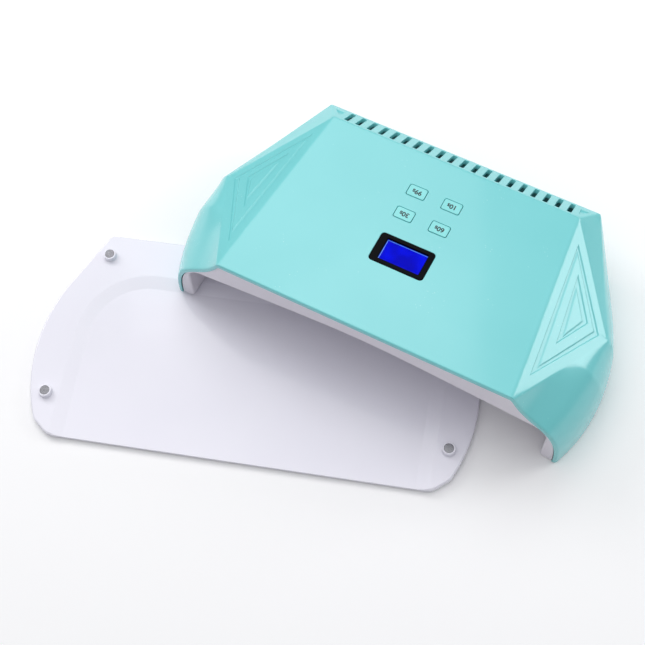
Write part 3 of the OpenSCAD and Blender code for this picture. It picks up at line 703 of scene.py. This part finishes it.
def screw_posts():
    """Posts inside the shell that the case screws go into."""
    tube = [(3.2, 0), (3.2, 11.6), (2.8, 12), (1.4, 12), (1.4, 0.4), (1.6, 0)]
    n = 28
    verts = [p for r, z in tube for p in round_ring(r, z, n)]
    one = mesh_object("post", verts, wall_faces(n, len(tube), closed=True))
    return scatter("case_screw_posts", [(Vector((x, y, 3.7)), UP) for x, y in SCREWS], one, "mint_plastic")


settle(screw_posts(), IN_HOOD, "hood", "mint_plastic")

# ------------------------------------------------------------------ the white liner of the hand space
def even(ring, n):
    """The open ring's points set out evenly along its length."""
    marks = [0.0]
    for p, q in zip(ring, ring[1:]):
        marks.append(marks[-1] + (q - p).length)
    done, k = [], 0
    for i in range(n):
        at = marks[-1] * i / (n - 1)
        while k < len(ring) - 2 and marks[k + 1] < at:
            k += 1
        done.append(ring[k].lerp(ring[k + 1], (at - marks[k]) / max(marks[k + 1] - marks[k], 1e-9)))
    return done


def cavity_ring(y, g=0.0, low=0.4, n=141, at=None, foot=0.0):
    """One cross-section of the hand space, grown by g; foot flares its lower edges outward."""
    w = foot_w(y) - smooth_leg(y) + g
    r = LEG_R + g
    x0 = w - r
    z0 = roof_z(x0, y, g) - r
    half = []
    if foot > 0:
        half += [(w + foot * (1 - math.sin(a)), low + foot * (1 - math.cos(a))) for a in (0, 0.4, 0.8, 1.2)]
    else:
        half.append((w, low))
    half += [(w, low + 3 + (z0 - low - 3) * k / 4) for k in range(5)]
    half += [(x0 + r * math.cos(a), z0 + r * math.sin(a)) for a in map(math.radians, range(7, 84, 7))]
    half += [(x0 * k / 12, roof_z(x0 * k / 12, y, g)) for k in range(12, -1, -1)]
    depth = y if at is None else at
    right = [Vector((x, depth, z)) for x, z in half]
    return even(right + [Vector((-p.x, p.y, p.z)) for p in reversed(right[:-1])], n)


def liner():
    """Front band, hand space and the liner's outer skin as one closed wall."""
    n = 141
    ys = [CAVITY_DEPTH - 2.4] + [112 - 4.2 * i for i in range(26)]
    rings = [cavity_ring(CAVITY_DEPTH, -2.4, 2.6), cavity_ring(CAVITY_DEPTH - 0.35, -1.2, 1.4)]
    rings += [cavity_ring(y, 0, 0.4, foot=2.2 if y < 60 else 0) for y in ys if y > 2.4]
    rings += [cavity_ring(0, 1.5 * (1 - math.cos(a)), 0.4, at=0.8 + 1.5 * (1 - math.sin(a)), foot=2.2)
              for a in (0.0, 0.4, 0.8, 1.2, 1.5708)]
    band = even(at_depth(shell_ring(0, RIM_T * 0.7 + 0.35, RIM_T + 0.45, 0.4), 0.8), n)
    for side in (0, -1):
        band[side].z = 0.4
    rings += [band, at_depth(band, 3.2)]
    rings += [cavity_ring(0, LINER_T, 0.4, at=3.2)]
    rings += [cavity_ring(y, LINER_T, 0.4) for y in (6, 14, 22, 30, 40, 50, 60, 70, 80, 90, 100, 110)]
    rings += [cavity_ring(CAVITY_DEPTH, LINER_T, 0.4, at=CAVITY_DEPTH + LINER_T)]
    m = len(rings)
    verts = [p for ring in rings for p in ring]
    faces = [(k * n + i, k * n + i + 1, (k + 1) * n + i + 1, (k + 1) * n + i)
             for k in range(m - 1) for i in range(n - 1)]
    for k in (0, m - 1):
        faces += [(k * n + i, k * n + i + 1, k * n + n - 2 - i, k * n + n - 1 - i) for i in range(n // 2 - 8)]
        faces.append(tuple(k * n + i for i in range(n // 2 - 8, n - (n // 2 - 8))))
    faces.append(tuple(k * n for k in range(m)))
    faces.append(tuple(k * n + n - 1 for k in range(m)))
    faces.append((0, n - 1, (m - 1) * n + n - 1, (m - 1) * n))
    return mesh_object("hand_space_liner", verts, faces)


def flange():
    """Flat foot of the liner, from the hand space out to the shell."""
    ys = [3.4 + 4 * i for i in range(32)] + [FOOT_DEPTH - SHELL_T - 0.6]
    outer = [Vector((foot_w(y) - SHELL_T - 0.9, y, 0)) for y in ys]
    inner = [Vector((foot_w(y) - smooth_leg(y) + 0.7, y, 0)) for y in ys if y < CAVITY_DEPTH]
    inner.append(Vector((foot_w(CAVITY_DEPTH) - smooth_leg(CAVITY_DEPTH) + 0.7, CAVITY_DEPTH + 0.7, 0)))
    plan = outer + [Vector((-p.x, p.y, 0)) for p in reversed(outer)]
    plan += [Vector((-p.x, p.y, 0)) for p in inner] + [p.copy() for p in reversed(inner)]
    n = len(plan)
    verts = [p + Vector((0, 0, z)) for z in (0.45, 2.55) for p in plan]
    faces = [tuple(range(n)), tuple(range(2 * n - 1, n - 1, -1))]
    faces += [(i, (i + 1) % n, n + (i + 1) % n, n + i) for i in range(n)]
    made = mesh_object("liner_foot", verts, faces)
    step = made.modifiers.new("round", "BEVEL")
    step.width, step.segments, step.limit_method, step.angle_limit = 0.4, 2, "ANGLE", 0.8
    bake(made)
    holes = [turned("cup_hole", [(4.7, -1), (4.7, 5), (0.01, 5)], Matrix.Translation((x, y + JOIN_Y, 0)))
             for x, y in MAGNETS]
    holes += [turned("screw_hole", [(3, -1), (3, 5), (0.01, 5)], Matrix.Translation((x, y, 0)))
              for x, y in SCREWS]
    cut(made, *holes)
    return made


def tube_item(outer, inner, low, high, edge=0.3, floor=None, floor_r=0.0, steps=40):
    """Ring-shaped cup: a wall with rounded mouths and, if given, a floor with a hole of floor_r."""
    profile = [(outer, low + edge), (outer, high - edge), (outer - edge, high)]
    if floor is None:
        profile += [(inner + edge, high), (inner, high - edge)]
    else:
        profile += [(floor_r, high), (floor_r, floor), (inner, floor)]
    profile += [(inner, low + edge), (inner + edge, low), (outer - edge, low)]
    verts = [p for r, z in profile for p in round_ring(r, z, steps)]
    return mesh_object("tube", verts, wall_faces(steps, len(profile), closed=True))


lamp_frames = [on_roof(s, x - 62, y - 55) for s in (1, -1) for x in (24, 62, 98) for y in (25, 55, 85)]
side_frames = [Matrix.Translation((125.2, y, 20)) @ Matrix.Rotation(math.pi / 2, 4, "Y")
               for y in (36, 49, 62)]
lamp_frames += side_frames + [Matrix.Scale(-1, 4, (1, 0, 0)) @ m for m in side_frames]
lamp_frames += [Matrix.Translation((x, CAVITY_DEPTH, 21)) @ Matrix.Rotation(-math.pi / 2, 4, "X")
                for x in (-33, -11, 11, 33)]
sensor_frames = [on_roof(s, 44, -41) for s in (1, -1)]

wall = liner()
hole = turned("lamp_hole", [(2.85, -4), (2.85, 6), (0.01, 6)], Matrix.Identity(4), 28)
cut(wall, scatter("lamp_holes", spots(lamp_frames), hole, "liner_plastic"))
hole = turned("sensor_hole", [(2.2, -4), (2.2, 6), (0.01, 6)], Matrix.Identity(4), 28)
cut(wall, scatter("sensor_holes", spots(sensor_frames), hole, "liner_plastic"))
settle(wall, IN_HOOD, "hood", "liner_plastic", "inner_liner", sharp=30)
settle(flange(), IN_HOOD, "hood", "liner_plastic", "inner_liner", sharp=30)
cups = scatter("magnet_cups", [(Vector((x, y + JOIN_Y, 0.5)), UP) for x, y in MAGNETS],
               tube_item(5.25, 4.7, 0, 6.6, 0.15, 4.0, 3.9), "liner_plastic")
settle(cups, IN_HOOD, "hood", "liner_plastic", "inner_liner")
bosses = scatter("screw_bosses", [(Vector((x, y, 0.5)), UP) for x, y in SCREWS],
                 tube_item(4.2, 3.0, 0, 3.0, 0.15, 1.7, 1.6), "liner_plastic")
settle(bosses, IN_HOOD, "hood", "liner_plastic", "inner_liner")


# ------------------------------------------------------------------ lamps, magnets and screws
def dome_lamp():
    """Lamp resin with a domed face towards the hand space, on a short round body."""
    dome = [(2.6, 2.6), (2.6, 0.5), (2.45, 0.1), (2.0, -0.3), (1.3, -0.5), (0.6, -0.58), (0.05, -0.6)]
    return turned("lamp", dome, Matrix.Identity(4), 28)


def lamp_core():
    """Collar round the lamp's resin, with two bond pads."""
    ring = tube_item(2.8, 2.62, 0.7, 2.4, 0.05, steps=24)
    pads = [slab("pad", 0.5, 1.0, 2.4, 2.6, 0.1, 0.05, Matrix.Translation((x, 0, 0))) for x in (-1.4, 1.4)]
    return together("lamp_collar", [ring, *pads])


def cross_screw(head_r, head_h, shank_r, length):
    """Pan-head screw seen from its head, which faces -z, with a cross recess."""
    profile = [(0.05, 0), (head_r * 0.5, 0.02), (head_r * 0.85, head_h * 0.12), (head_r, head_h * 0.45),
               (head_r, head_h), (shank_r, head_h)]
    turns = int((length - 1) / 0.9)
    for i in range(turns):
        z = head_h + 0.4 + i * 0.9
        profile += [(shank_r * 0.8, z), (shank_r, z + 0.35), (shank_r, z + 0.5), (shank_r * 0.8, z + 0.85)]
    profile += [(shank_r * 0.7, head_h + length - 0.3), (0.05, head_h + length)]
    body = turned("screw", profile, Matrix.Identity(4), 28)
    arms = [skin("recess", [stadium(a, b, 0.15, z, 2) for a, b, z in ((w, d, -0.5), (w, d, 0.0),
                                                                      (w * 0.55, d * 0.7, head_h * 0.75))])
            for w, d in ((head_r * 1.15, 0.55), (0.55, head_r * 1.15))]
    return cut(body, *arms)


lamps = scatter("uv_lamps", spots(lamp_frames), dome_lamp(), "lamp_lens")
settle(lamps, IN_HOOD, "hood", "lamp_lens", "uv_leds")
collars = scatter("uv_lamp_collars", spots(lamp_frames), lamp_core(), "lamp_chip")
settle(collars, IN_HOOD, "hood", "lamp_lens", "uv_leds", look="lamp_chip")
window = turned("window", [(2.0, 2.2), (2.0, 0.1), (1.85, -0.1), (1.2, -0.25), (0.05, -0.3)],
                Matrix.Identity(4), 28)
sensors = scatter("hand_sensors", spots(sensor_frames), window, "sensor_lens")
settle(sensors, IN_HOOD, "hood", "sensor_lens", "sensor_windows")


def disc(r, low, high, edge=0.25):
    profile = [(0.05, low), (r - edge, low), (r - edge * 0.3, low + edge * 0.3), (r, low + edge),
               (r, high - edge), (r - edge * 0.3, high - edge * 0.3), (r - edge, high), (0.05, high)]
    return turned("disc", profile, Matrix.Identity(4), 48)


magnets = scatter("hood_magnet_discs", [(Vector((x, y + JOIN_Y, 4.7)), UP) for x, y in MAGNETS],
                  disc(4.0, 0, 2.2), "nickel")
settle(magnets, IN_HOOD, "hood", "nickel", "hood_magnets")
magnets = scatter("plate_magnet_discs", [(Vector((x, y, PLATE_Z + BOSS_H - 2.2)), UP) for x, y in MAGNETS],
                  disc(3.0, 0, 2.0, 0.2), "nickel")
settle(magnets, IN_PLATE, "base", "nickel", "plate_magnets")
screws = scatter("case_cross_screws", [(Vector((x, y, 0.6)), UP) for x, y in SCREWS],
                 cross_screw(2.7, 1.4, 1.3, 10.5), "screw_steel", spread=2.6)
settle(screws, IN_HOOD, "hood", "screw_steel", "case_screws", sharp=28)
places = [on_top(x * 28, y, -9.6 - 1.4 - 1.2) for x in (-1, 1) for y in (43, 113)]
screws = scatter("board_cross_screws", spots(places), cross_screw(2.2, 1.2, 1.0, 5.2), "screw_steel",
                 spread=2.6)
settle(screws, IN_HOOD, "hood", "screw_steel", "board_screws", sharp=28)

# ------------------------------------------------------------------ keys and display
for name, (x, y) in KEYS.items():
    cap = slab("key_cap_" + name, 12, 8.2, -2.5, 0.2, 1.2, 0.35, on_top(x, y), 0.08)
    rest = [slab("key_flange", 14, 10.2, -3.5, -2.7, 1.6, 0.15, on_top(x, y)),
            slab("key_core", 10, 6.2, -4, -2.4, 0.6, 0.1, on_top(x, y)),
            turned("key_stem", [(0.05, -5), (1.3, -5), (1.5, -4.8), (1.5, -3.9), (0.05, -3.9)],
                   on_top(x, y), 24)]
    settle(together("key_cap_" + name, [cap, *rest]), IN_HOOD, "key_" + name, "mint_plastic",
           "button_" + name, look="key_mint")
    words = bpy.data.curves.new("label_" + name, "FONT")
    words.body, words.size, words.align_x, words.align_y = name, 4.7, "CENTER", "CENTER"
    words.extrude, words.offset, words.resolution_u = 0.012, 0.12, 6
    drawn = bpy.data.objects.new("label_" + name, words)
    bpy.context.scene.collection.objects.link(drawn)
    mesh = bpy.data.meshes.new_from_object(drawn.evaluated_get(bpy.context.evaluated_depsgraph_get()))
    bpy.data.objects.remove(drawn)
    label = bpy.data.objects.new("label_" + name, mesh)
    bpy.context.scene.collection.objects.link(label)
    mesh.transform(on_top(x, y, 0.165) @ Matrix.Rotation(math.pi, 4, "Z"))
    tidy(label)
    settle(label, IN_HOOD, "key_" + name, "mint_plastic", look="label_ink", weighted=False)


def bezel():
    """Black display frame with a bevelled window."""
    body = slab("display_frame", 36.4, 21.6, -1.5, 0.3, 2.3, 0.35, on_top(0, DISPLAY_Y))
    rings = [stadium(WINDOW_W + 2 * o, WINDOW_D + 2 * o, 0.4 + o, z)
             for o, z in ((0, -2), (0, -0.35), (0.2, 0.1), (0.35, 0.31), (0.5, 1))]
    return cut(body, skin("window", rings, on_top(WINDOW_X, WINDOW_Y)))


settle(bezel(), IN_HOOD, "hood", "bezel_plastic", "display_bezel")
glass = slab("display_window", 31, 18, -3.1, -1.6, 0.4, 0.1, on_top(0, DISPLAY_Y))
settle(glass, IN_HOOD, "hood", "lcd_blue", "lcd_glass")
# Thin glowing strips along the back and left edges of the window: a painted highlight of light catching those
# edges.
HIGHLIGHT_STRIP_AT = (-1.59, -1.54, 0.1, 0.02)
highlight_strips = [slab("lit_edge", WINDOW_W - 0.4, 0.5, *HIGHLIGHT_STRIP_AT, on_top(WINDOW_X, WINDOW_Y + WINDOW_D / 2 - 0.35)),
          slab("lit_edge", 0.5, WINDOW_D - 0.4, *HIGHLIGHT_STRIP_AT, on_top(WINDOW_X - WINDOW_W / 2 + 0.35, WINDOW_Y))]
settle(together("display_lit_edges", highlight_strips), IN_HOOD, "hood", "lcd_blue", look="lcd_painted_highlight")


# ------------------------------------------------------------------ the base plate
def hull(points):
    """Convex outline, anticlockwise."""
    points = sorted(set((round(x, 6), round(y, 6)) for x, y in points))
    halves = []
    for order in (points, points[::-1]):
        line = []
        for p in order:
            while len(line) > 1 and ((line[-1][0] - line[-2][0]) * (p[1] - line[-2][1])
                                     - (line[-1][1] - line[-2][1]) * (p[0] - line[-2][0])) <= 0:
                line.pop()
            line.append(p)
        halves.append(line[:-1])
    return halves[0] + halves[1]


def circle(cx, cy, r, n=48):
    return [(cx + x, cy + y) for x, y, _ in round_ring(r, 0, n)]


def by_angle(outline, centre, n):
    """Where n rays from the centre meet a convex outline."""
    ring = []
    for i in range(n):
        a = 2 * math.pi * (i + 0.5) / n
        dx, dy = math.cos(a), math.sin(a)
        best = 0.0
        for (x0, y0), (x1, y1) in zip(outline, outline[1:] + outline[:1]):
            ex, ey = x1 - x0, y1 - y0
            det = dx * ey - dy * ex
            if abs(det) < 1e-9:
                continue
            t = ((x0 - centre[0]) * ey - (y0 - centre[1]) * ex) / det
            s = ((x0 - centre[0]) * dy - (y0 - centre[1]) * dx) / det
            if t > 0 and -1e-6 <= s <= 1 + 1e-6:
                best = max(best, t)
        ring.append((centre[0] + dx * best, centre[1] + dy * best))
    return ring


PLATE_FRONT, PLATE_BACK = -JOIN_Y - PORCH, FOOT_DEPTH - JOIN_Y


def plate_outline(drawn):
    """The plate's edge, drawn in evenly."""
    points = []
    ys = [PLATE_FRONT + 9 + 3 * i for i in range(46)]
    w = [foot_w(y + JOIN_Y) + 1.2 for y in ys]
    points += [(s * x, y) for x, y in zip(w, ys) if y < PLATE_BACK - 4 for s in (1, -1)]
    front, back = foot_w(PLATE_FRONT + JOIN_Y) + 1.2, foot_w(PLATE_BACK - 4 + JOIN_Y) + 1.2
    for s in (1, -1):
        points += circle(s * (front - 9), PLATE_FRONT + 9, 9)
        points += circle(s * (back - 4), PLATE_BACK - 4, 4)
    ring = hull(points)
    if drawn:
        n = len(ring)
        moved = []
        for i in range(n):
            (ax, ay), (bx, by) = ring[i - 1], ring[(i + 1) % n]
            length = math.hypot(bx - ax, by - ay)
            moved.append((ring[i][0] - (by - ay) / length * drawn, ring[i][1] + (bx - ax) / length * drawn))
        ring = moved
    return ring


def tray_outline(drawn):
    w, b, r = 122.5 - drawn, 92.5 - drawn, 46 - drawn
    points = []
    for s in (1, -1):
        points += circle(s * (w - r), b - r, r, 96) + circle(s * (w - 5), 15, 5)
        points += circle(s * (w - 5), PLATE_FRONT - 8, 3.6)
    return hull(points)


def plate():
    centre, n = (0, 40), 360
    top, low = PLATE_Z, PAD_H
    layers = [(0.6, low), (0.2, low + 0.15), (0.0, low + 0.6), (0.0, top - 1.2)]
    layers += [(1.2 * (1 - math.cos(a)), top - 1.2 * (1 - math.sin(a))) for a in (0.4, 0.8, 1.2, 1.5708)]
    rings = [[(x, y, z) for x, y in by_angle(plate_outline(o), centre, n)] for o, z in layers]
    made = skin("base_plate_body", rings)
    layers = [(-0.6, top + 1), (-0.2, top + 0.001), (0.2, top - 0.03), (0.6, top - 0.12), (8.4, top - 1.68),
              (8.8, top - 1.77), (9.2, top - 1.8)]
    rings = [[(x, y, z) for x, y in by_angle(tray_outline(o), centre, n)] for o, z in layers]
    cut(made, skin("tray", rings))
    tidy(made, 0.002)
    face = top + BOSS_H
    boss = [(4.9, top - 0.6), (4.9, top), (4.55, top + 0.08), (4.3, top + 0.3), (4.2, top + 0.7),
            (4.2, face - 0.45), (4.07, face - 0.13), (3.75, face), (0.05, face)]
    for x, y in MAGNETS:
        cut(made, turned("boss", boss, Matrix.Translation((x, y, 0)), 48), join=True)
    hole = [(0.05, face - 2.3), (3.1, face - 2.3), (3.1, face - 0.15), (3.25, face), (3.25, face + 2)]
    cut(made, *[turned("magnet_hole", hole, Matrix.Translation((x, y, 0)), 48) for x, y in MAGNETS])
    hole = [(5.2, -1), (5.2, PAD_H + 0.4), (0.05, PAD_H + 0.4)]
    cut(made, *[turned("foot_hole", hole, Matrix.Translation((x, y, 0)), 40) for x, y in FEET])
    return made


FEET = [(118, -12), (-118, -12), (104, 106), (-104, 106)]
settle(plate(), IN_PLATE, "base", "plate_plastic", "base_plate", sharp=30)
pads = scatter("rubber_feet", [(Vector((x, y, 0)), UP) for x, y in FEET],
               disc(5.0, 0, PAD_H + 0.3, 0.35), "foot_rubber")
settle(pads, IN_PLATE, "base", "foot_rubber", "plate_feet")

# ------------------------------------------------------------------ finishes of the parts kept from the frame
kept = {"lcd_module": "lcd_frame", "control_board": "board_green", "key_switches": "part_black",
        "controller_chips": "part_black", "supply_capacitors": "capacitor_sleeve", "buzzer": "part_black",
        "wire_headers": "header_nylon", "led_board_left": "board_white", "led_board_right": "board_white",
        "led_board_back": "board_white", "dc_socket": "part_black", "dc_contact_pin": "pin_brass",
        "dc_lead": "lead_black", "led_lead_left": "lead_red", "led_lead_right": "lead_red"}
for node, look in kept.items():
    CAD[node].data.materials.clear()
    CAD[node].data.materials.append(finish[look])

# ------------------------------------------------------------------ floor, light and camera


def floor_finish(g):
    here = g.place()
    tone = g.mix(g.noise(here, 3, 2) * 0.3, (0.97, 0.97, 0.97), (0.95, 0.95, 0.955))
    return {"Base Color": tone, "Roughness": 0.8}


corners = [(-6, -6, 0), (6, -6, 0), (6, 6, 0), (-6, 6, 0)]
floor = mesh_object("studio_floor", corners, [(0, 1, 2, 3)], outward=False)
floor.data.materials.append(material("studio_floor_white", floor_finish))

world = bpy.data.worlds.new("studio_light")
world.use_nodes = True
sky = Graph(world.node_tree)
rise = sky.node("ShaderNodeSeparateXYZ", None, {0: sky.node("ShaderNodeTexCoord")}, 2)
tone = sky.mix(rise.band(0.1, 0.75), (0.13, 0.14, 0.15), (0.62, 0.62, 0.64))
world.node_tree.links.new(tone.out, world.node_tree.nodes["Background"].inputs[0])
bpy.context.scene.world = world
bpy.context.scene.view_settings.view_transform = "Standard"


def softbox(name, at, aim, size, power, tone=(1, 1, 1)):
    lamp = bpy.data.lights.new(name, "AREA")
    lamp.shape, lamp.size, lamp.size_y, lamp.energy, lamp.color = "RECTANGLE", size[0], size[1], power, tone
    made = bpy.data.objects.new(name, lamp)
    made.location = at
    made.rotation_euler = (Vector(aim) - Vector(at)).to_track_quat("-Z", "Y").to_euler()
    bpy.context.scene.collection.objects.link(made)


softbox("overhead", (-0.15, 0.1, 1.35), (0, 0, 0), (1.3, 1.1), 4.0)
softbox("left_key", (-1.0, 0.25, 0.75), (0, 0, 0.03), (0.5, 0.5), 4)
softbox("right_back_panel", (0.77, 0.68, 0.53), (0.136, 0.055, 0.056), (0.46, 0.36), 2.6)
softbox("left_back_panel", (-0.42, 0.72, 1.05), (0, 0, 0.03), (0.75, 0.6), 2.6)

lens = bpy.data.cameras.new("studio_camera")
lens.lens, lens.sensor_width, lens.clip_start, lens.clip_end = 66.98, 36, 0.01, 50
camera = bpy.data.objects.new("studio_camera", lens)
look, up = Vector((-0.2363, 0.3595, -0.9027)).normalized(), Vector((-0.3950, 0.8133, 0.4273))
right = look.cross(up).normalized()
up = right.cross(look)
camera.matrix_world = Matrix.Translation((0.17774, -0.27406, 0.7128)) @ Matrix((
    (right.x, up.x, -look.x, 0), (right.y, up.y, -look.y, 0), (right.z, up.z, -look.z, 0), (0, 0, 0, 1)))
bpy.context.scene.collection.objects.link(camera)
bpy.context.scene.camera = camera
